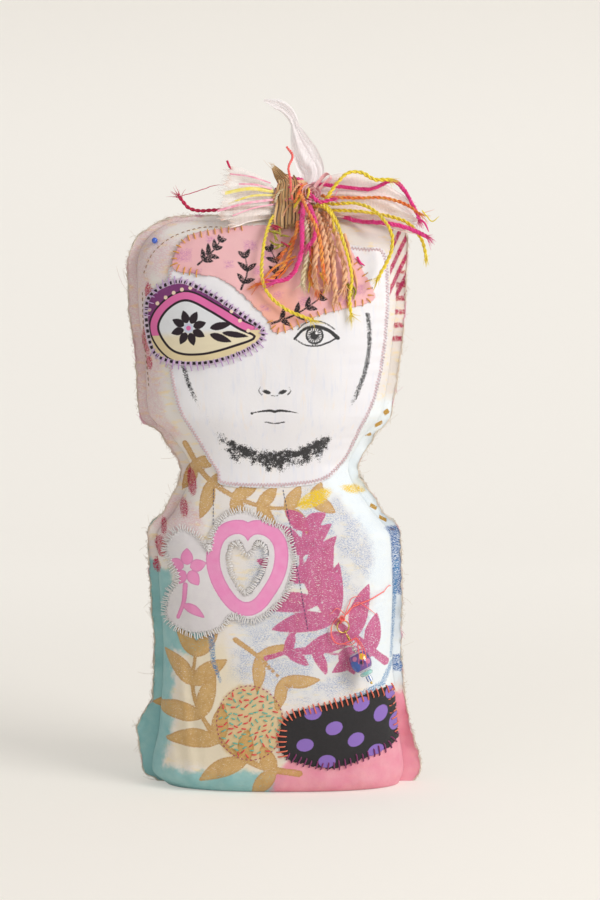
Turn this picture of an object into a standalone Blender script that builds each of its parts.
"""Cloth doll: two painted canvas panels sewn together and stuffed, with patches, a charm and a headdress.

The doll stands on its flat base and faces -Y, with +Z up. The origin is on the underside, on the front panel.
Lengths are in millimetres here and become metres when a mesh or a curve is made.
"""

import math

import bmesh
import bpy
from mathutils import Matrix, Vector
from mathutils.bvhtree import BVHTree

MM = 0.001

# Cloth, seams and clearances
GAP = 0.3
CANVAS = 1.2
PATCH_CLOTH = 0.7
ALLOWANCE = 6.5
TOP_ALLOWANCE = 3.5
EAR_ALLOWANCE = 10.0
EAR_HEIGHT = 34.0

# Stitched outline of the body, seen from the front
HEIGHT = 380.0
HEM_HEIGHT = 10.0
HIP_HEIGHT = 40.0
WAIST_HEIGHT = 93.0
CHEST_HEIGHT = 145.0
SHOULDER_HEIGHT = 168.0
NECK_HEIGHT = 214.0
CHEEK_HEIGHT = 252.0
TEMPLE_HEIGHT = 290.0
BROW_HEIGHT = 327.0
BASE_HALF_WIDTH = 79.0
HEM_HALF_WIDTH = 85.5
HIP_HALF_WIDTH = 81.0
CHEST_HALF_WIDTH = 77.5
SHOULDER_HALF_WIDTH = 79.0
NECK_HALF_WIDTH = 53.0
CHEEK_HALF_WIDTH = 78.5
BROW_HALF_WIDTH = 86.5
LEFT_CROWN_RADIUS = 32.0
RIGHT_CROWN_RADIUS = 12.0

# Fullness of the stuffed body, front and back, from the seam plane
BASE_DEPTH = 31.0
EDGE_HEIGHT = 13.0
BELLY_HEIGHT = 52.0
FRONT_BELLY = 45.0
FRONT_CHEST = 43.0
FRONT_NECK = 27.0
FRONT_FACE = 39.0
BACK_BELLY = 43.0
BACK_CHEST = 40.0
BACK_NECK = 26.0
BACK_HEAD = 37.0
FACE_HEIGHT = 298.0
CHEST_DEPTH_HEIGHT = 120.0
BASE_SEAM_SHIFT = 8.0

# Each station is a height, a half-width and how far the middle leans to the right
OUTLINE = (
    (0.0, BASE_HALF_WIDTH, 9.0),
    (HEM_HEIGHT, HEM_HALF_WIDTH, 5.5),
    (HIP_HEIGHT, HIP_HALF_WIDTH, 6.0),
    (WAIST_HEIGHT, CHEST_HALF_WIDTH, 5.5),
    (CHEST_HEIGHT, SHOULDER_HALF_WIDTH, 4.0),
    (SHOULDER_HEIGHT, SHOULDER_HALF_WIDTH, 3.0),
    (SHOULDER_HEIGHT + 18.0, (SHOULDER_HALF_WIDTH + NECK_HALF_WIDTH) / 2.0, 2.5),
    (NECK_HEIGHT, NECK_HALF_WIDTH, 0.0),
    (NECK_HEIGHT + 21.0, (NECK_HALF_WIDTH + CHEEK_HALF_WIDTH) / 2.0 - 2.0, -1.0),
    (CHEEK_HEIGHT, CHEEK_HALF_WIDTH, -2.7),
    (TEMPLE_HEIGHT, (CHEEK_HALF_WIDTH + BROW_HALF_WIDTH) / 2.0, -1.0),
    (BROW_HEIGHT, BROW_HALF_WIDTH, -1.5),
    (HEIGHT, BROW_HALF_WIDTH + 1.0, -1.5),
)
FRONT_DEPTHS = (
    (EDGE_HEIGHT, BASE_DEPTH + 9.5),
    (BELLY_HEIGHT, FRONT_BELLY),
    (CHEST_DEPTH_HEIGHT, FRONT_CHEST),
    (SHOULDER_HEIGHT, FRONT_CHEST - 5.0),
    (NECK_HEIGHT, FRONT_NECK),
    (CHEEK_HEIGHT, FRONT_FACE - 4.0),
    (FACE_HEIGHT, FRONT_FACE),
)
BACK_DEPTHS = (
    (EDGE_HEIGHT, BASE_DEPTH + 8.5),
    (BELLY_HEIGHT, BACK_BELLY),
    (CHEST_DEPTH_HEIGHT, BACK_CHEST),
    (SHOULDER_HEIGHT, BACK_CHEST - 5.0),
    (NECK_HEIGHT, BACK_NECK),
    (CHEEK_HEIGHT, BACK_HEAD - 4.0),
    (FACE_HEIGHT, BACK_HEAD),
)

# Tessellation of the body
COLUMNS = 10
TRUNK_ROWS = 7
NECK_ROWS = 6
HEAD_ROWS = 7
YARN_STEP = 3.15

# Patches: outlines as x and z seen from the front; the upper two have z from the top seam
FACE_OUTLINE = (
    (-68, 312), (-66, 284), (-60, 256), (-50, 238), (-35, 213), (-28, 204), (28, 205),
    (48, 217), (60, 239), (71, 264), (78, 304), (78, 356), (61, 362), (2, 366), (-47, 362), (-65, 348),
)
FOREHEAD_OUTLINE = (
    (-63, -32), (-56, -13), (-35, -7), (2, -4), (41, -6), (66, -42), (66, -54),
    (35, -62), (6, -74), (-3, -63), (-28, -41), (-47, -36),
)
TEARDROP_OUTLINE = (
    (-82, -58), (-76, -46), (-58, -39), (-36, -48), (-12, -64), (-2, -72),
    (-6, -82), (-26, -92), (-48, -96), (-70, -93), (-79, -83),
)
APPLIQUE_OUTLINE = (
    (-68, 161), (-60, 174), (-48, 171), (-39, 161), (-36, 173), (-28, 184), (-15, 187), (-2, 181), (10, 175),
    (15, 161), (14, 145), (6, 129), (-10, 118), (-24, 121), (-33, 112), (-50, 108), (-67, 115), (-66, 131),
    (-59, 143),
)
APPLIQUE_OPENING = (
    (-14, 161), (-8, 169), (-1, 165), (-1, 153), (-7, 141), (-15, 133), (-24, 143), (-28, 155), (-26, 166),
    (-19, 169),
)
DOT_PATCH_OUTLINE = (
    (14.5, 55.5), (83.0, 69.0), (89.5, 35.5), (80.5, 29.0), (40.5, 17.5), (10.5, 25.5), (6.5, 41.0),
)

# Charm: a ring sewn flat to the chest and a pin that hangs in it with its beads
RING_X = 48.3
RING_Z = 112.5
RING_RADIUS = 4.0
RING_WIRE = 1.2
RING_STANDOFF = 0.5
TIE_THREAD = 1.0
PIN_WIRE = 0.8
PIN_WRAP = 1.7
WRAP_START = 2.6
WRAP_END = 6.6
CHARM_HANG = 13.4
CHARM_LEAN = 15.0
CLEAR_BEAD = 3.6
GLASS_BEAD_DIAMETER = 14.0
GLASS_BEAD_LENGTH = 13.6
DISC_DIAMETER = 9.0
DISC_LENGTH = 3.0
TUBE_BEAD = 4.0
PIN_END_BALL = 1.6
PIN_END_CLEARANCE = 0.2

# Dressmaker's pin in the head
HEADED_PIN_X = -75.0
HEADED_PIN_Z = HEIGHT - 14.5
HEADED_PIN_BALL = 4.0
HEADED_PIN_WIRE = 0.6
HEADED_PIN_LENGTH = 22.0

# Headdress: a knot on the top seam, ribbons, a rosette and yarns that leave the knot
KNOT_X = 17.0
KNOT_Y = -3.0
KNOT_HALF_WIDTH = 10.5
KNOT_HALF_DEPTH = 9.0
KNOT_HALF_HEIGHT = 13.0
RIBBON_CLOTH = 0.5
STRIP_THICKNESS = 1.6
STRIP_CLEARANCE = 0.4
WING_FOLD = 2.2
WING_ROOT = 18.0
WING_CLEARANCE = 1.3
ROSETTE_RADIUS = 6.0
ROSETTE_TUBE = 3.4
ROSETTE_SINK = 0.3


# Small helpers

def eased(stations, height, item=1):
    """A smooth curve through the stations, read at one height."""
    heights = [station[0] for station in stations]
    values = [station[item] for station in stations]
    if height <= heights[0]:
        return values[0]
    if height >= heights[-1]:
        return values[-1]
    slopes = [(values[k + 1] - values[k]) / (heights[k + 1] - heights[k]) for k in range(len(values) - 1)]
    ends = [slopes[0]]
    for before, after in zip(slopes, slopes[1:]):
        ends.append(0.0 if before * after <= 0.0 else 2.0 * before * after / (before + after))
    ends.append(slopes[-1])
    k = max(k for k in range(len(slopes)) if heights[k] <= height)
    span = heights[k + 1] - heights[k]
    t = (height - heights[k]) / span
    start = (2 * t ** 3 - 3 * t ** 2 + 1) * values[k] + (t ** 3 - 2 * t ** 2 + t) * span * ends[k]
    return start + (3 * t ** 2 - 2 * t ** 3) * values[k + 1] + (t ** 3 - t ** 2) * span * ends[k + 1]


def smooth_loop(points, per_span):
    """A closed curve through the points, with a few samples on each span."""
    result = []
    count = len(points)
    for k in range(count):
        a, b, c, d = (Vector(points[(k + step) % count]) for step in (-1, 0, 1, 2))
        for sample in range(per_span):
            t = sample / per_span
            cubic = (3 * (b - c) + d - a) * t ** 3 + (2 * a - 5 * b + 4 * c - d) * t ** 2 + (c - a) * t
            result.append(b + cubic * 0.5)
    return result


def smooth_route(points, step):
    """Points a step apart on a smooth curve through the route's own points."""
    route = [Vector(point) for point in points]
    route = [2 * route[0] - route[1]] + route + [2 * route[-1] - route[-2]]
    dense = []
    for a, b, c, d in zip(route, route[1:], route[2:], route[3:]):
        for sample in range(12):
            t = sample / 12
            cubic = (3 * (b - c) + d - a) * t ** 3 + (2 * a - 5 * b + 4 * c - d) * t ** 2 + (c - a) * t
            dense.append(b + cubic * 0.5)
    dense.append(route[-2])
    length = sum((q - p).length for p, q in zip(dense, dense[1:]))
    spans = max(2, round(length / step))
    result = [dense[0]]
    walked = 0.0
    for p, q in zip(dense, dense[1:]):
        piece = (q - p).length
        while len(result) < spans and walked + piece >= len(result) * length / spans:
            result.append(p.lerp(q, (len(result) * length / spans - walked) / max(piece, 1e-9)))
        walked += piece
    result.append(dense[-1])
    return result


def material(name, colour, roughness, metallic=0.0):
    """A plain material, made once for each name."""
    made = bpy.data.materials.get(name)
    if made:
        return made
    made = bpy.data.materials.new(name)
    made.use_nodes = True
    shader = made.node_tree.nodes["Principled BSDF"]
    shader.inputs["Base Color"].default_value = (*colour, 1.0)
    shader.inputs["Roughness"].default_value = roughness
    shader.inputs["Metallic"].default_value = metallic
    return made


def mesh_object(name, vertices, faces, finish, smooth=True):
    """A mesh object from millimetre vertices, with its faces turned outwards."""
    mesh = bpy.data.meshes.new(name)
    mesh.from_pydata([Vector(v) * MM for v in vertices], [], faces)
    mesh.materials.append(finish)
    thing = bpy.data.objects.new(name, mesh)
    bpy.context.collection.objects.link(thing)
    turn_outwards(mesh)
    if smooth:
        mesh.shade_smooth()
        mesh.set_sharp_from_angle(angle=math.radians(40))
    return thing


def turn_outwards(mesh):
    """Make every face of a closed mesh point outwards."""
    shape = bmesh.new()
    shape.from_mesh(mesh)
    bmesh.ops.recalc_face_normals(shape, faces=shape.faces)
    if shape.calc_volume(signed=True) < 0.0:
        bmesh.ops.reverse_faces(shape, faces=shape.faces)
    shape.to_mesh(mesh)
    shape.free()


def cord_object(name, points, diameter, finish, radii=None):
    """A round cord along a line of points."""
    curve = bpy.data.curves.new(name, "CURVE")
    curve.dimensions = "3D"
    curve.bevel_depth = diameter / 2.0 * MM
    curve.bevel_resolution = 2
    curve.use_fill_caps = True
    spline = curve.splines.new("POLY")
    spline.points.add(len(points) - 1)
    for k, point in enumerate(points):
        spline.points[k].co = (*(Vector(point) * MM), 1.0)
        spline.points[k].radius = radii[k] if radii else 1.0
    curve.materials.append(finish)
    thing = bpy.data.objects.new(name, curve)
    bpy.context.collection.objects.link(thing)
    return thing


def grid_faces(rows, columns, start=0, flip=False):
    """Triangles of a grid of vertices, all cut along the same diagonal."""
    faces = []
    for i in range(rows - 1):
        for j in range(columns - 1):
            a = start + i * columns + j
            b, c, d = a + 1, a + columns + 1, a + columns
            pair = [(a, b, c), (a, c, d)]
            faces += [tuple(reversed(face)) for face in pair] if flip else pair
    return faces


def sheet_object(name, rows, thickness, finish):
    """A thin closed sheet over a grid of points."""
    count = len(rows)
    width = len(rows[0])
    normals = grid_normals(rows)
    top = [rows[i][j] + normals[i][j] * thickness / 2.0 for i in range(count) for j in range(width)]
    bottom = [rows[i][j] - normals[i][j] * thickness / 2.0 for i in range(count) for j in range(width)]
    faces = grid_faces(count, width) + grid_faces(count, width, len(top), flip=True)
    rim = [j for j in range(width)]
    rim += [i * width + width - 1 for i in range(1, count)]
    rim += [(count - 1) * width + j for j in range(width - 2, -1, -1)]
    rim += [i * width for i in range(count - 2, 0, -1)]
    for a, b in zip(rim, rim[1:] + rim[:1]):
        faces += [(b, a, a + len(top)), (b, a + len(top), b + len(top))]
    return mesh_object(name, top + bottom, faces, finish)


def grid_normals(rows):
    """Unit normals of a grid of points."""
    normals = []
    for i, row in enumerate(rows):
        normals.append([])
        for j in range(len(row)):
            along = rows[i][min(j + 1, len(row) - 1)] - rows[i][max(j - 1, 0)]
            across = rows[min(i + 1, len(rows) - 1)][j] - rows[max(i - 1, 0)][j]
            normals[i].append(along.cross(across).normalized())
    return normals


# Body

def edges(height):
    """Left and right ends of the stitched outline at one height."""
    half = eased(OUTLINE, height)
    lean = eased(OUTLINE, height, 2)
    left = lean - half
    right = lean + half
    over_left = height - (HEIGHT - LEFT_CROWN_RADIUS)
    over_right = height - (HEIGHT - RIGHT_CROWN_RADIUS)
    if over_left > 0.0:
        left += LEFT_CROWN_RADIUS - math.sqrt(max(LEFT_CROWN_RADIUS ** 2 - over_left ** 2, 0.0))
    if over_right > 0.0:
        right -= RIGHT_CROWN_RADIUS - math.sqrt(max(RIGHT_CROWN_RADIUS ** 2 - over_right ** 2, 0.0))
    return left, right


def fullness(side, height):
    """How far the middle of a panel stands off the seam plane; side is -1 at the front."""
    depths = FRONT_DEPTHS if side < 0 else BACK_DEPTHS
    depth = eased(depths, height)
    if height > FACE_HEIGHT:
        rise = (height - FACE_HEIGHT) / (HEIGHT - FACE_HEIGHT)
        depth *= max(1.0 - rise ** 2.6, 0.0) ** 0.6
    return depth


def section(column):
    """Place across the body, -1 to 1, and bulge, 0 to 1, of one column."""
    angle = math.pi * column / COLUMNS
    across = -math.copysign(abs(math.cos(angle)) ** 0.85, math.cos(angle))
    if column * 2 == COLUMNS:
        across = 0.0
    return across, abs(math.sin(angle)) ** 0.85 if 0 < column < COLUMNS else 0.0


def body_rows():
    """Rows of a panel, from the seam under the base, round its front edge and up to the top seam."""
    rows = [("base", 0.0), ("base", 0.5)]
    rows += [("edge", math.radians(angle)) for angle in (0, 30, 60)]
    landmarks = (
        (EDGE_HEIGHT, SHOULDER_HEIGHT, TRUNK_ROWS),
        (SHOULDER_HEIGHT, CHEEK_HEIGHT, NECK_ROWS),
    )
    for low, high, count in landmarks:
        rows += [("wall", low + (high - low) * k / count) for k in range(count)]
    crown = HEIGHT - CHEEK_HEIGHT
    for k in range(HEAD_ROWS + 1):
        rows.append(("wall", CHEEK_HEIGHT + crown * math.sin(math.pi / 2 * k / HEAD_ROWS) ** 1.05))
    return rows


def panel_point(side, row, column):
    """Point of a panel's outer surface."""
    kind, value = row
    across, bulge = section(column)
    if kind == "base":
        edge = panel_point(side, ("edge", 0.0), column)
        seam_y = BASE_SEAM_SHIFT * (1.0 - across ** 2) ** 2 + side * GAP / 2.0
        return Vector((edge.x, seam_y, 0.0)).lerp(edge, value)
    if kind == "edge":
        height = EDGE_HEIGHT * (1.0 - math.cos(value))
        depth = BASE_DEPTH + (fullness(side, EDGE_HEIGHT) - BASE_DEPTH) * math.sin(value)
    else:
        height = value
        depth = fullness(side, height)
    left, right = edges(height)
    x = (left + right) / 2.0 + (right - left) / 2.0 * across
    return Vector((x, side * (GAP / 2.0 + CANVAS + depth * bulge), height))


def panel_grid(side):
    """All points of a panel's outer surface, row by row."""
    return [[panel_point(side, row, column) for column in range(COLUMNS + 1)] for row in body_rows()]


def perimeter(grid):
    """Grid places round the open outline, up the left side, over the top and down the right."""
    last = len(grid) - 1
    places = [(i, 0) for i in range(2, last + 1)]
    places += [(last, j) for j in range(1, COLUMNS)]
    places += [(i, COLUMNS) for i in range(last, 1, -1)]
    return places


def outline_directions(grid):
    """Outward direction in the seam plane at each place of the outline."""
    places = perimeter(grid)
    outline = [grid[i][j] for i, j in places]
    directions = {}
    for k, place in enumerate(places):
        along = (outline[min(k + 1, len(outline) - 1)] - outline[max(k - 1, 0)]).normalized()
        directions[place] = Vector((-along.z, 0.0, along.x))
    for column, sign in ((0, -1.0), (COLUMNS, 1.0)):
        for i in range(5):
            directions[(i, column)] = Vector((sign, 0.0, 0.0))
    return directions


def inner_grid(side, grid, thickness, seam_gap):
    """The same surface moved inwards, ending short of the seam."""
    normals = grid_normals(grid)
    directions = outline_directions(grid)
    rows = []
    for i, row in enumerate(grid):
        rows.append([])
        for j, point in enumerate(row):
            if (i, j) in directions:
                moved = point - directions[(i, j)] * thickness
                rows[i].append(Vector((moved.x, side * seam_gap, max(moved.z, thickness))))
                continue
            normal = normals[i][j] if normals[i][j].y * side > 0 else -normals[i][j]
            if i < 2:
                normal = Vector((0.0, 0.0, -1.0))
            rows[i].append(point - normal * thickness)
    return rows


def allowance_points(grid, y):
    """Outer edge of the seam allowance, one point for each place on the outline."""
    directions = outline_directions(grid)
    points = []
    for i, j in perimeter(grid):
        point = grid[i][j]
        outward = directions[(i, j)]
        width = ALLOWANCE
        if point.z < EAR_HEIGHT:
            width += (EAR_ALLOWANCE - ALLOWANCE) * math.cos(math.pi / 2 * point.z / EAR_HEIGHT)
        if abs(outward.z) > 0.7:
            width = TOP_ALLOWANCE
        points.append(Vector((point.x + outward.x * width, y, max(point.z + outward.z * width, 0.0))))
    return points


def make_panel(name, side, finish):
    """One canvas panel: stuffed shell, and the raw allowance round its sides and top."""
    outer = panel_grid(side)
    inner = inner_grid(side, outer, CANVAS, GAP / 2.0)
    width = COLUMNS + 1
    rows = len(outer)
    places = perimeter(outer)
    rim_outer = allowance_points(outer, side * (GAP / 2.0 + CANVAS))
    rim_inner = allowance_points(outer, side * GAP / 2.0)
    vertices = [point for row in outer for point in row]
    inner_start = len(vertices)
    vertices += [point for row in inner for point in row]
    rim_start = len(vertices)
    vertices += rim_outer
    back_start = len(vertices)
    vertices += rim_inner
    faces = grid_faces(rows, width) + grid_faces(rows, width, inner_start, flip=True)
    for k in range(len(places) - 1):
        a = places[k][0] * width + places[k][1]
        b = places[k + 1][0] * width + places[k + 1][1]
        strip = (a, b, rim_start + k + 1, rim_start + k)
        wall = (rim_start + k, rim_start + k + 1, back_start + k + 1, back_start + k)
        under = (back_start + k, back_start + k + 1, inner_start + b, inner_start + a)
        for quad in (strip, wall, under):
            faces += [(quad[0], quad[2], quad[1]), (quad[0], quad[3], quad[2])]
    for j in range(COLUMNS):
        a, b = j, j + 1
        faces += [(a, inner_start + a, b), (b, inner_start + a, inner_start + b)]
    faces += corner_faces(places, width, inner_start, rim_start, back_start)
    return mesh_object(name, *merged(vertices, faces), finish)


def corner_faces(places, width, inner_start, rim_start, back_start):
    """Close both lower ends of the allowance, where the three seams meet."""
    faces = []
    for k, column, flip in ((0, 0, False), (len(places) - 1, COLUMNS, True)):
        seam, middle, edge = column, width + column, 2 * width + column
        rim, back = rim_start + k, back_start + k
        fan = [(seam, middle, rim), (middle, edge, rim), (seam, rim, back)]
        fan.append((seam, back, inner_start + column))
        faces += [tuple(reversed(face)) for face in fan] if flip else fan
    return faces


def merged(vertices, faces):
    """Join vertices that fall together, and drop faces that close up or lie back to back."""
    keep = {}
    order = []
    index = []
    for vertex in vertices:
        key = (round(vertex.x, 3), round(vertex.y, 3), round(vertex.z, 3))
        if key not in keep:
            keep[key] = len(order)
            order.append(vertex)
        index.append(keep[key])
    joined = [tuple(index[k] for k in face) for face in faces]
    joined = [face for face in joined if len(set(face)) == 3]
    corners = [frozenset(face) for face in joined]
    return order, [face for face in joined if corners.count(frozenset(face)) == 1]


def make_stuffing(finish):
    """Fibre filling: both panels' inner surfaces, a clearance further in, joined along the seam."""
    depth = CANVAS + GAP
    front = inner_grid(-1, panel_grid(-1), depth, 0.0)
    back = inner_grid(1, panel_grid(1), depth, 0.0)
    for row, other in zip(front[:1], back[:1]):
        for j in range(COLUMNS + 1):
            middle = (row[j] + other[j]) / 2.0
            row[j] = middle
            other[j] = middle.copy()
    width = COLUMNS + 1
    vertices = [point for row in front for point in row]
    start = len(vertices)
    vertices += [point for row in back for point in row]
    faces = grid_faces(len(front), width) + grid_faces(len(back), width, start, flip=True)
    return mesh_object("stuffing", *merged(vertices, faces), finish)


# Patches

def slab(name, low, high, finish):
    """A layer of cloth over the whole front panel, between two distances from it."""
    grid = panel_grid(-1)
    normals = grid_normals(grid)
    rows = range(4, len(grid) - 1)
    middle = (low + high) / 2.0
    points = []
    for i in rows:
        points.append([])
        for j in range(1, COLUMNS):
            normal = normals[i][j] if normals[i][j].y < 0 else -normals[i][j]
            points[-1].append(grid[i][j] + normal * middle)
    return sheet_object(name, points, high - low, finish)


def prism(name, outline, front, back):
    """A cutter with the outline's shape that runs from front to back."""
    count = len(outline)
    vertices = [Vector((p.x, front, p.y)) for p in outline] + [Vector((p.x, back, p.y)) for p in outline]
    faces = [tuple(range(count)), tuple(range(2 * count - 1, count - 1, -1))]
    for k in range(count):
        n = (k + 1) % count
        faces.append((n, k, count + k, count + n))
    cutter = mesh_object(name, vertices, faces, material("guide", (0.5, 0.5, 0.5), 1.0), smooth=False)
    cutter.hide_render = True
    cutter.display_type = "WIRE"
    return cutter


def cut(thing, cutter, operation):
    """Keep or remove what lies inside the cutter."""
    modifier = thing.modifiers.new(cutter.name, "BOOLEAN")
    modifier.operation = operation
    modifier.solver = "EXACT"
    modifier.object = cutter


def make_patch(name, outline, layer, finish, per_span=2, opening=None):
    """A patch sewn on over the front panel and the layers below it."""
    low = GAP + layer * (PATCH_CLOTH + GAP)
    patch = slab(name, low, low + PATCH_CLOTH, finish)
    front = -(max(FRONT_BELLY, FRONT_FACE) + 20.0)
    cut(patch, prism(name + "_outline", smooth_loop(outline, per_span), front, -CANVAS), "INTERSECT")
    if opening:
        cut(patch, prism(name + "_opening", smooth_loop(opening, per_span), front, -CANVAS), "DIFFERENCE")
    return patch


def from_top(outline):
    """The same outline with its heights measured from the base."""
    return [(x, HEIGHT + z) for x, z in outline]


def make_patches(cloth):
    """The five patches, the upper ones over the lower ones."""
    make_patch("face_patch", FACE_OUTLINE, 0, cloth["white"])
    make_patch("forehead_patch", from_top(FOREHEAD_OUTLINE), 1, cloth["pink"])
    make_patch("teardrop_patch", from_top(TEARDROP_OUTLINE), 1, cloth["purple"])
    make_patch("applique_patch", APPLIQUE_OUTLINE, 0, cloth["white"], opening=APPLIQUE_OPENING)
    make_patch("dot_patch", DOT_PATCH_OUTLINE, 0, cloth["black"], per_span=1)


# Places on the front of the body

def front_tree():
    """The front panel's surface, for measuring where things rest on it."""
    grid = panel_grid(-1)
    points = [point for row in grid for point in row]
    return BVHTree.FromPolygons(points, grid_faces(len(grid), COLUMNS + 1))


def front_surface(tree, x, z):
    """Point and outward normal of the front panel at one place, or None beside the body."""
    hit, normal, _, _ = tree.ray_cast(Vector((x, -200.0, z)), Vector((0.0, 1.0, 0.0)))
    if hit is None:
        return None, None
    return hit, normal if normal.y < 0 else -normal


# Charm

def turned(name, profile, segments, finish):
    """A turned piece: a closed profile of radius and height, spun round Z."""
    vertices = []
    for k in range(segments):
        angle = 2.0 * math.pi * k / segments
        vertices += [Vector((r * math.cos(angle), r * math.sin(angle), z)) for r, z in profile]
    count = len(profile)
    faces = []
    for k in range(segments):
        n = (k + 1) % segments
        for p in range(count):
            q = (p + 1) % count
            faces.append((k * count + p, n * count + p, n * count + q, k * count + q))
    return mesh_object(name, vertices, faces, finish)


def round_profile(radius, thickness, sides):
    """Profile of a ring with a round section."""
    turns = [2.0 * math.pi * k / sides for k in range(sides)]
    return [(radius + thickness / 2.0 * math.cos(a), thickness / 2.0 * math.sin(a)) for a in turns]


def bead_profile(diameter, length, bore, bulge, steps):
    """Profile of a bead with a bore; a bulge of 1 makes it round and 0 makes it a cylinder."""
    profile = []
    for k in range(steps + 1):
        t = -1.0 + 2.0 * k / steps
        swell = math.sqrt(max(1.0 - (t * 0.96) ** 2, 0.0))
        radius = diameter / 2.0 * (1.0 - bulge + bulge * swell)
        profile.append((max(radius, bore / 2.0 + 0.3), t * length / 2.0))
    return profile + [(bore / 2.0, length / 2.0), (bore / 2.0, -length / 2.0)]


def charm_frame(tree):
    """Axes of the hanging charm: across, into the cloth and upwards, at the ring's centre."""
    seat, _ = front_surface(tree, RING_X, RING_Z)
    below, normal = front_surface(tree, RING_X + 4.0, RING_Z - 20.0)
    outward = (normal + Vector((0.0, 0.0, -normal.z))).normalized()
    slope = (seat - below).normalized()
    up = (slope - outward * slope.dot(outward)).normalized()
    outward = (outward - up * outward.dot(up)).normalized()
    height = GAP + TIE_THREAD + GAP + RING_WIRE / 2.0
    centre = seat + outward * (height + RING_STANDOFF)
    return centre, up.cross(outward), -outward, up


def pivot(name, centre, across, inward, up, turn=0.0):
    """An empty at the ring's centre, turned about the line that points into the cloth."""
    frame = Matrix((across, inward, up)).transposed().to_4x4()
    empty = bpy.data.objects.new(name, None)
    bpy.context.collection.objects.link(empty)
    empty.matrix_world = Matrix.Translation(centre * MM) @ frame @ Matrix.Rotation(math.radians(turn), 4, "Y")
    return empty


def carry(parent, thing, place, tilt=0.0):
    """Put a piece at a place in its parent's frame, tilted about the line across."""
    thing.parent = parent
    thing.location = Vector(place) * MM
    thing.rotation_euler = (math.radians(tilt), 0.0, 0.0)


def make_ring(tree, metal, thread):
    """The brass ring and the thread loop that ties its top to the chest."""
    centre, across, inward, up = charm_frame(tree)
    seat = pivot("ring_seat", centre, across, inward, up)
    ring = turned("brass_ring", round_profile(RING_RADIUS, RING_WIRE, 6), 16, metal)
    carry(seat, ring, (0, 0, 0), 90.0)
    tie = turned("coral_tie", round_profile(RING_WIRE / 2 + GAP + TIE_THREAD / 2, TIE_THREAD, 5), 9, thread)
    carry(seat, tie, (0, 0, RING_RADIUS))
    tie.rotation_euler = (0.0, math.radians(90.0), 0.0)
    return centre, across, inward, up


def pin_route():
    """The charm's pin: an eye round the ring's wire, a wrap, the shank and the end ball."""
    eye = RING_WIRE / 2.0 + GAP + PIN_WIRE / 2.0
    points = []
    radii = []
    for k in range(11):
        angle = math.radians(-60.0 + 330.0 * (1.0 - k / 10.0) - 30.0)
        points.append((0.0, eye * math.cos(angle), eye * math.sin(angle)))
        radii.append(1.0)
    stops = (
        (WRAP_START - 0.4, 1.0), (WRAP_START, PIN_WRAP / PIN_WIRE), (WRAP_END, PIN_WRAP / PIN_WIRE),
        (WRAP_END + GAP, 1.0), (shank_end() - PIN_END_CLEARANCE, 1.0),
        (shank_end() + PIN_END_CLEARANCE, PIN_END_BALL / PIN_WIRE * 0.8),
        (shank_end() + PIN_END_BALL / 2.0, PIN_END_BALL / PIN_WIRE),
        (shank_end() + PIN_END_BALL, PIN_END_BALL / PIN_WIRE * 0.5),
    )
    for distance, radius in stops:
        points.append((0.0, 0.0, -distance))
        radii.append(radius)
    return points, radii


def bead_stops():
    """Each bead's name and its middle, measured down the pin, one below the other."""
    sizes = (
        ("clear_bead_upper", CLEAR_BEAD), ("clear_bead_lower", CLEAR_BEAD), ("glass_bead", GLASS_BEAD_LENGTH),
        ("disc_bead", DISC_LENGTH), ("tube_bead", TUBE_BEAD),
    )
    place = WRAP_END + 2.0 * GAP
    stops = {}
    for name, length in sizes:
        stops[name] = place + length / 2.0
        place += length + GAP
    return stops, place


def shank_end():
    """Where the pin's end ball starts, below the last bead."""
    return bead_stops()[1] + PIN_END_CLEARANCE


def make_charm(frame, finishes):
    """The pin and its beads, hanging from the ring's lowest point."""
    hanger = pivot("charm_pivot", *frame, turn=-CHARM_HANG)
    bore = PIN_WIRE + 2.0 * GAP
    profiles = {
        "clear_bead_upper": (bead_profile(CLEAR_BEAD, CLEAR_BEAD, bore, 1.0, 4), 9),
        "clear_bead_lower": (bead_profile(CLEAR_BEAD, CLEAR_BEAD, bore, 1.0, 4), 9),
        "glass_bead": (bead_profile(GLASS_BEAD_DIAMETER, GLASS_BEAD_LENGTH, bore, 0.55, 6), 14),
        "disc_bead": (bead_profile(DISC_DIAMETER, DISC_LENGTH, bore, 0.35, 3), 12),
        "tube_bead": (bead_profile(TUBE_BEAD, TUBE_BEAD, bore, 0.1, 2), 10),
    }
    points, radii = pin_route()
    pin = cord_object("headpin", points, PIN_WIRE, finishes["headpin"], radii)
    carry(hanger, pin, (0, 0, -RING_RADIUS), -CHARM_LEAN)
    lean = Matrix.Rotation(math.radians(-CHARM_LEAN), 3, "X")
    for name, distance in bead_stops()[0].items():
        profile, segments = profiles[name]
        bead = turned(name, profile, segments, finishes[name])
        carry(hanger, bead, Vector((0, 0, -RING_RADIUS)) + lean @ Vector((0, 0, -distance)), -CHARM_LEAN)
    loop = smooth_route(CORAL_LOOP, TIE_THREAD * YARN_STEP)
    carry(hanger, cord_object("coral_loop", loop, TIE_THREAD, finishes["coral_loop"]), (0, 0, 0))


# Hand-chosen route of the thread loop beside the ring, in the charm's frame: across, into the cloth, upwards
CORAL_LOOP = (
    (4.5, -3.6, -10.4), (0.3, -3.8, -9.8), (-5.5, -2.0, -9.8), (-9.2, -0.6, -7.0), (-9.6, -0.4, -1.5),
    (-7.2, -0.4, 3.6),
)

# Hand-chosen route of the thread's end: x and z from the ring's centre, and distance in front of the cloth
CORAL_THREAD = (
    (1.8, 6.9, 3.0), (5.8, 11.7, 2.6), (11.3, 14.1, 1.8), (18.3, 16.3, 1.4), (24.8, 19.3, 1.8),
    (28.5, 21.0, 2.0),
)


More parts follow.
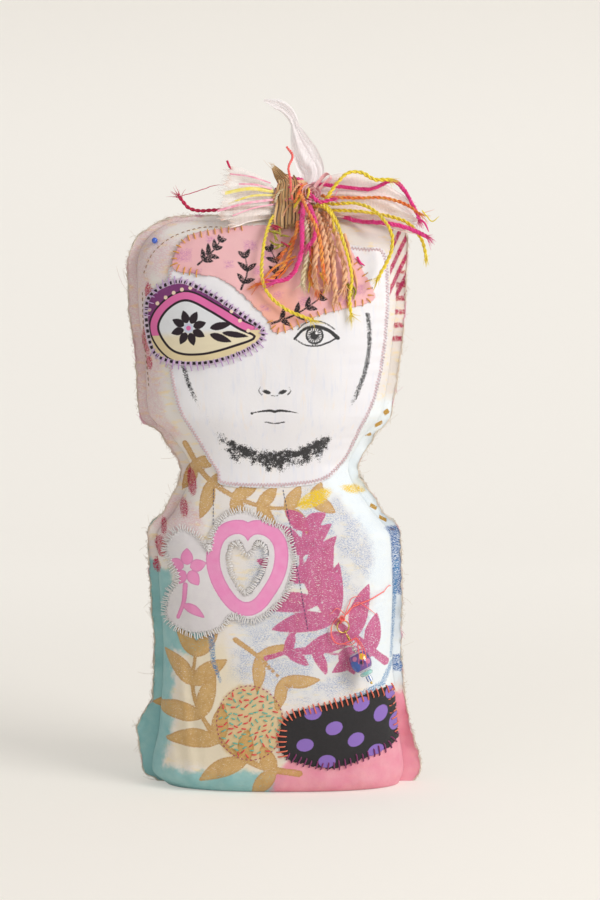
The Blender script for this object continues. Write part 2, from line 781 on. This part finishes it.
def laid_route(tree, points):
    """Points in space from x, z and a distance in front of the cloth."""
    route = []
    for x, z, lift in points:
        seat, _ = front_surface(tree, x, z)
        y = seat.y if seat else 0.0
        route.append(Vector((x, y - lift, z)))
    return route


# Dressmaker's pin

def make_headed_pin(tree, steel, glass, bored):
    """A pin with a round glass head, pushed straight into the side of the head."""
    seat, outward = front_surface(tree, HEADED_PIN_X, HEADED_PIN_Z)
    turn = outward.to_track_quat("Z", "Y")
    profile = [(0.0, -HEADED_PIN_BALL / 2.0)]
    for angle in (-60, -30, 0, 30, 60):
        a = math.radians(angle)
        profile.append((HEADED_PIN_BALL / 2.0 * math.cos(a), HEADED_PIN_BALL / 2.0 * math.sin(a)))
    profile.append((0.0, HEADED_PIN_BALL / 2.0))
    ball = solid_of_revolution("pin_head", profile, 9, glass)
    place(ball, seat + outward * (HEADED_PIN_BALL / 2.0 + GAP), turn)
    cord_object("pin_shaft", [seat, seat - outward * HEADED_PIN_LENGTH], HEADED_PIN_WIRE, steel)
    bore = place(solid_of_revolution("pin_bore", bore_profile(), 8, steel), seat, turn)
    bore.hide_render = True
    bore.display_type = "WIRE"
    for thing in bored:
        cut(thing, bore, "DIFFERENCE")


def place(thing, centre, turn):
    """Put a piece at a centre, turned by a quaternion."""
    thing.location = centre * MM
    thing.rotation_mode = "QUATERNION"
    thing.rotation_quaternion = turn
    return thing


def bore_profile():
    """Outline of the hole that the pin's shank makes, with its clearance."""
    radius = HEADED_PIN_WIRE / 2.0 + GAP
    depth = HEADED_PIN_LENGTH + GAP
    return [(0.0, -depth - GAP), (radius, -depth), (radius, HEADED_PIN_BALL), (0.0, HEADED_PIN_BALL + GAP)]


def solid_of_revolution(name, profile, segments, finish):
    """A closed turned solid; its profile starts and ends on the axis."""
    vertices = [Vector((0.0, 0.0, profile[0][1]))]
    rings = profile[1:-1]
    for r, z in rings:
        for k in range(segments):
            angle = 2.0 * math.pi * k / segments
            vertices.append(Vector((r * math.cos(angle), r * math.sin(angle), z)))
    vertices.append(Vector((0.0, 0.0, profile[-1][1])))
    faces = []
    for k in range(segments):
        n = (k + 1) % segments
        faces.append((0, 1 + n, 1 + k))
        for ring in range(len(rings) - 1):
            a = 1 + ring * segments
            b = a + segments
            faces.append((a + k, a + n, b + n, b + k))
        last = 1 + (len(rings) - 1) * segments
        faces.append((last + k, last + n, len(vertices) - 1))
    return mesh_object(name, vertices, faces, finish)


# Headdress

def knot_centre():
    """The knot rests on the top edge of the seam allowance."""
    return Vector((KNOT_X, KNOT_Y, HEIGHT + TOP_ALLOWANCE + GAP + KNOT_HALF_HEIGHT))


def knot_side(turn, rise, clearance):
    """Point beside the knot and its outward direction; turn is from the front to the right, in degrees."""
    t, r = math.radians(turn), math.radians(rise)
    ray = Vector((math.sin(t) * math.cos(r), -math.cos(t) * math.cos(r), math.sin(r)))
    half = Vector((KNOT_HALF_WIDTH, KNOT_HALF_DEPTH, KNOT_HALF_HEIGHT))
    place = Vector((ray.x * half.x, ray.y * half.y, ray.z * half.z))
    outward = Vector((ray.x / half.x, ray.y / half.y, ray.z / half.z)).normalized()
    return knot_centre() + place + outward * clearance, outward


def make_knot(finish):
    """The tied core of the headdress."""
    profile = [(0.0, -1.0)]
    profile += [(math.cos(math.radians(a)), math.sin(math.radians(a))) for a in (-60, -32, 0, 32, 60)]
    knot = solid_of_revolution("headdress_knot", profile + [(0.0, 1.0)], 14, finish)
    knot.data.transform(Matrix.Diagonal((KNOT_HALF_WIDTH, KNOT_HALF_DEPTH, KNOT_HALF_HEIGHT, 1.0)))
    knot.location = knot_centre() * MM


def band(name, middle, widths, thickness, finish, across=None):
    """A flat strip along a line, with its own width at each point."""
    rows = []
    for k, point in enumerate(middle):
        side = Vector(across[k]) if across else Vector((1.0, 0.0, 0.0))
        side = side.normalized() * widths[k] / 2.0
        rows.append([point - side, point.copy(), point + side])
    return sheet_object(name, rows, thickness, finish)


# The striped strip: its tip (turn, rise, distance), its way over the knot (turn, rise, width) and its tail
STRIP_TIP = (-90, 56, 11.0)
STRIP_TIP_WIDTH = 2.0
STRIP_OVER_KNOT = (
    (-70, 46, 5), (-46, 46, 8), (-32, 34, 10), (-30, 16, 11), (-30, -4, 11.5), (-30, -24, 12.5),
)
STRIP_TAIL = ((8.0, 4.5, 13.5), (15.0, 9.5, 12.5))

# The upright ribbon: x from the knot's middle, y from its foot, z from the top seam, and its width there
UPRIGHT_RIBBON = (
    (3.0, 0.0, 21.0, 8.0), (8.0, 1.5, 32.0, 13.5), (8.0, 1.5, 44.0, 15.5), (3.5, 1.0, 56.0, 12.0),
    (-1.5, 0.0, 67.0, 7.0), (-6.0, -2.0, 73.0, 5.5), (-12.0, -3.0, 78.5, 7.5), (-20.5, -2.0, 81.5, 1.5),
)

# Each wing: where it leaves the knot, then its far corners, x from the knot, y, and z from the top seam
LEFT_WING = (-120, (-48.0, -4.0, 38.0), (-48.0, -21.0, -1.0))
RIGHT_WING = (134, (82.0, -2.0, 30.0), (82.0, -16.0, -8.0))


def make_strip(finish):
    """The striped strip: a pointed end at the left, a turn over the knot and a tail in front."""
    clearance = GAP + STRIP_THICKNESS / 2.0 + STRIP_CLEARANCE
    middle = [knot_side(*STRIP_TIP)[0]]
    widths = [STRIP_TIP_WIDTH]
    for turn, rise, width in STRIP_OVER_KNOT:
        middle.append(knot_side(turn, rise, clearance)[0])
        widths.append(float(width))
    low = middle[-1]
    for drop, forward, width in STRIP_TAIL:
        middle.append(low + Vector((-0.5, -forward, -drop)))
        widths.append(width)
    across = [(0.6, 0.0, 0.8), (0.3, -0.6, 0.5)] + [(1.0, -0.25, 0.0)] * (len(middle) - 2)
    band("striped_strip", middle, widths, STRIP_THICKNESS, finish, across)


def make_upright_ribbon(finish):
    """The sheer ribbon that stands up behind the knot and folds over at its tip."""
    foot, _ = knot_side(180, 10, GAP + RIBBON_CLOTH)
    middle = [Vector((KNOT_X + x, foot.y + y, HEIGHT + z)) for x, y, z, _ in UPRIGHT_RIBBON]
    widths = [width for _, _, _, width in UPRIGHT_RIBBON]
    across = [(1.0, 0.1, 0.1)] * 4 + [(0.8, 0.2, 0.6), (0.5, 0.3, 0.8), (0.3, 0.2, 0.9), (0.2, 0.1, 0.9)]
    band("upright_ribbon", middle, widths, RIBBON_CLOTH, finish, across)


def make_wing(name, wing, finish):
    """A sheer ribbon end that spreads sideways from the knot to the two corners of its far edge."""
    turn, upper, lower = wing
    root_high, _ = knot_side(turn, WING_ROOT, WING_CLEARANCE)
    root_low, _ = knot_side(turn, -WING_ROOT, WING_CLEARANCE)
    corners = [Vector((KNOT_X + x, y, HEIGHT + z)) for x, y, z in (upper, lower)]
    rows = []
    for k in range(6):
        t = k / 5.0
        rows.append([])
        for j in range(5):
            s = j / 4.0
            root = root_high.lerp(root_low, s)
            far = corners[0].lerp(corners[1], s)
            point = root.lerp(far, t)
            point.z += (far.z - root.z) * (t ** 0.8 - t)
            point.y += WING_FOLD * t * math.sin(math.pi * (2.5 * s + 0.4 * t))
            rows[-1].append(point)
    return sheet_object(name, rows, RIBBON_CLOTH, finish)


def make_rosette(finish):
    """The rolled silk rosette beside the knot."""
    seat, outward = knot_side(62, 8, GAP + ROSETTE_TUBE / 2.0 - ROSETTE_SINK)
    rosette = turned("silk_rosette", round_profile(ROSETTE_RADIUS / 2.0 + 0.4, ROSETTE_TUBE, 7), 12, finish)
    place(rosette, seat, outward.to_track_quat("Z", "Y"))


# Yarns: name, colour, diameter, where each leaves the knot (turn and rise), then its hand-chosen route.
# A route's points are x from the knot's middle, z from the top seam and the distance in front of the cloth.
YARNS = (
    ("yarn_yellow_brow", "yellow", 1.8, (-78, -42), (
        (-15, 1, 17), (-19, -11, 10), (-21, -25, 8), (-21, -39, 8), (-16, -50, 5.4), (-5, -59, 4.6),
        (11, -65.5, 4.6))),
    ("yarn_pink_left", "crimson", 1.8, (-150, -22), (
        (-15, 10, -1.5), (-47, 8, -1), (-63, 7, 0), (-71, 9, 0), (-77, 16, 0))),
    ("yarn_pink_front", "pink", 2.4, (24, -26), (
        (5, -1, 28), (5, -14, 18), (4, -24, 14), (0, -34, 11), (-5, -39, 9), (-14, -41, 9))),
    ("yarn_pink_loop", "pink", 2.2, (42, -24), (
        (11, 6, 24), (14, -3, 22), (13, -12, 18), (9, -18, 17))),
    ("yarn_orange_left", "orange", 2.0, (8, -68), (
        (2, -3, 13), (-1, -16, 8.5), (-6, -29, 6), (-14, -38, 4.6), (-25, -43, 4.4))),
    ("yarn_orange_middle", "orange", 2.0, (52, -68), (
        (7, -3, 12), (9, -16, 7), (11, -28, 5.5), (10, -38, 4.6), (14, -46, 4.6))),
    ("yarn_orange_right", "orange", 2.0, (18, -2), (
        (8, 7, 33), (14, -5, 29), (17, -17, 23), (18, -28, 18), (19, -35, 15))),
    ("yarn_cream", "cream", 2.2, (26, -46), (
        (7, 0, 24), (8.5, -12, 15.5), (8, -24, 11), (6, -34, 8.5), (5, -42, 8))),
    ("yarn_peach_1", "peach", 2.6, (50, -46), (
        (11.5, 1, 18), (13, -11, 12), (14, -23, 9.5), (13, -33, 8.5), (14, -42, 8))),
    ("yarn_peach_2", "peach", 2.6, (72, -45), (
        (16, 2, 18), (19, -10, 12), (21, -22, 9), (21.5, -33, 7), (21, -43, 5.4))),
    ("yarn_peach_3", "peach", 2.6, (96, -68), (
        (14, 1, 12), (21, -12, 7), (25, -25, 5.6), (26, -39, 5.2), (27, -52, 4.8))),
    ("yarn_peach_4", "peach", 2.6, (94, -44), (
        (21, 4, 14), (27, -9, 11), (30.5, -22, 8), (33, -34, 5.2), (32.5, -45, 5))),
    ("yarn_yellow_front", "yellow", 1.8, (60, -26), (
        (20, 8, 25), (28, -3, 22), (32, -15, 16), (35.5, -27, 11), (37.5, -39, 6), (36, -51, 4.4),
        (37, -62, 4.4))),
    ("yarn_yellow_high", "yellow", 1.9, (78, -24), (
        (20, 13, 18), (27, 23, 18), (35, 31, 17), (44, 31.5, 16), (53, 27, 15), (63, 27, 14))),
    ("yarn_pink_high", "pink", 2.0, (98, 28), (
        (19, 24, 9), (35, 22, 10), (51, 21, 10), (65, 26.5, 9), (73, 20, 10), (78, 11, 13), (83, 1, 16))),
    ("yarn_orange_far", "orange", 1.7, (104, 10), (
        (21, 16, 10), (41, 15, 11), (59, 15, 12), (73, 11, 14), (83, 4, 20))),
    ("yarn_yellow_drop", "yellow", 1.8, (98, -8), (
        (25, 11, 14), (41, 11, 19), (54, 5, 25), (63, -8, 27), (63, -22, 20), (55, -38, 14))),
    ("yarn_yellow_far", "yellow", 1.8, (110, -26), (
        (25, 7, 12), (43, 6, 14), (61, 3, 17), (75, -2, 20), (84, -13, 21), (87, -24, 21))),
    ("yarn_pink_far", "pink", 2.2, (136, -36), (
        (21, 7, 2), (41, 0, 12), (59, -2, 20), (75, -5.5, 24), (87, -11, 26))),
)

# The coral cord stands up above the knot, and comes down over the strip in front of it
CORAL_CORD_DIAMETER = 1.8
CORAL_CORD = ((-5.3, 49, 8), (-1.3, 42.7, 10), (-4, 35, 12))
CORAL_CORD_OVER = ((-14, 38), (-10, 8), (-6, -14))


def from_knot(route):
    """The same route with its places measured from the origin."""
    return [(KNOT_X + x, HEIGHT + z, lift) for x, z, lift in route]


def make_yarns(tree, finishes):
    """Every yarn leaves the knot straight out, then follows its route."""
    for name, colour, diameter, (turn, rise), route in YARNS:
        start, outward = knot_side(turn, rise, GAP + diameter * 0.12)
        points = [start, start + outward * diameter * 1.5] + laid_route(tree, from_knot(route))
        cord_object(name, smooth_route(points, diameter * YARN_STEP), diameter, finishes[colour])
    clearance = GAP + STRIP_CLEARANCE + STRIP_THICKNESS + GAP + CORAL_CORD_DIAMETER / 2.0
    points = laid_route(tree, from_knot(CORAL_CORD))
    points += [knot_side(turn, rise, clearance)[0] for turn, rise in CORAL_CORD_OVER]
    route = smooth_route(points, CORAL_CORD_DIAMETER * YARN_STEP)
    cord_object("coral_cord", route, CORAL_CORD_DIAMETER, finishes["coral"])


def make_headdress(tree, cloth, yarn):
    """Knot, ribbons, strip, rosette and yarns."""
    make_knot(cloth["peach"])
    make_strip(cloth["striped"])
    make_upright_ribbon(cloth["sheer"])
    make_wing("ribbon_left", LEFT_WING, cloth["sheer"])
    make_wing("ribbon_right", RIGHT_WING, cloth["sheer"])
    make_rosette(cloth["silk"])
    make_yarns(tree, yarn)


def build():
    """The whole doll."""
    for thing in list(bpy.data.objects):
        bpy.data.objects.remove(thing)
    canvas = material("painted_canvas", (0.76, 0.70, 0.60), 0.9)
    cloth = {
        "white": material("white_cloth", (0.78, 0.78, 0.80), 0.9),
        "pink": material("pink_cloth", (0.80, 0.42, 0.46), 0.9),
        "purple": material("printed_cloth", (0.25, 0.06, 0.20), 0.9),
        "black": material("dotted_cloth", (0.02, 0.02, 0.02), 0.9),
        "sheer": material("sheer_ribbon", (0.86, 0.66, 0.62), 0.6),
        "striped": material("striped_cloth", (0.50, 0.29, 0.12), 0.85),
        "silk": material("pink_silk", (0.80, 0.38, 0.45), 0.5),
        "peach": material("peach_wool", (0.86, 0.47, 0.25), 0.95),
    }
    yarn = {
        "yellow": material("yellow_yarn", (0.86, 0.68, 0.05), 0.9),
        "pink": material("pink_yarn", (0.86, 0.06, 0.34), 0.9),
        "crimson": material("crimson_yarn", (0.75, 0.03, 0.13), 0.9),
        "orange": material("orange_yarn", (0.87, 0.18, 0.04), 0.9),
        "peach": cloth["peach"],
        "cream": material("cream_yarn", (0.86, 0.78, 0.60), 0.9),
        "coral": material("coral_cord", (0.80, 0.10, 0.10), 0.9),
    }
    brass = material("brass", (0.72, 0.52, 0.18), 0.3, 1.0)
    steel = material("pin_steel", (0.55, 0.55, 0.56), 0.3, 1.0)
    front = make_panel("front_panel", -1, canvas)
    make_panel("back_panel", 1, canvas)
    stuffing = make_stuffing(material("fibre_filling", (0.85, 0.84, 0.80), 1.0))
    make_patches(cloth)
    tree = front_tree()
    frame = make_ring(tree, brass, yarn["coral"])
    make_charm(frame, {
        "headpin": brass,
        "clear_bead_upper": material("clear_bead", (0.85, 0.86, 0.88), 0.05),
        "clear_bead_lower": material("clear_bead", (0.85, 0.86, 0.88), 0.05),
        "glass_bead": material("painted_bead", (0.10, 0.08, 0.30), 0.1),
        "disc_bead": material("aqua_bead", (0.45, 0.70, 0.68), 0.15),
        "tube_bead": material("striped_bead", (0.30, 0.42, 0.70), 0.2),
        "coral_loop": yarn["coral"],
    })
    thread = laid_route(tree, [(RING_X + x, RING_Z + z, lift) for x, z, lift in CORAL_THREAD])
    thread = smooth_route(thread, TIE_THREAD * YARN_STEP)
    cord_object("coral_thread", thread, TIE_THREAD, yarn["coral"])
    make_headed_pin(tree, steel, material("blue_glass", (0.03, 0.09, 0.55), 0.1), (front, stuffing))
    make_headdress(tree, cloth, yarn)


build()
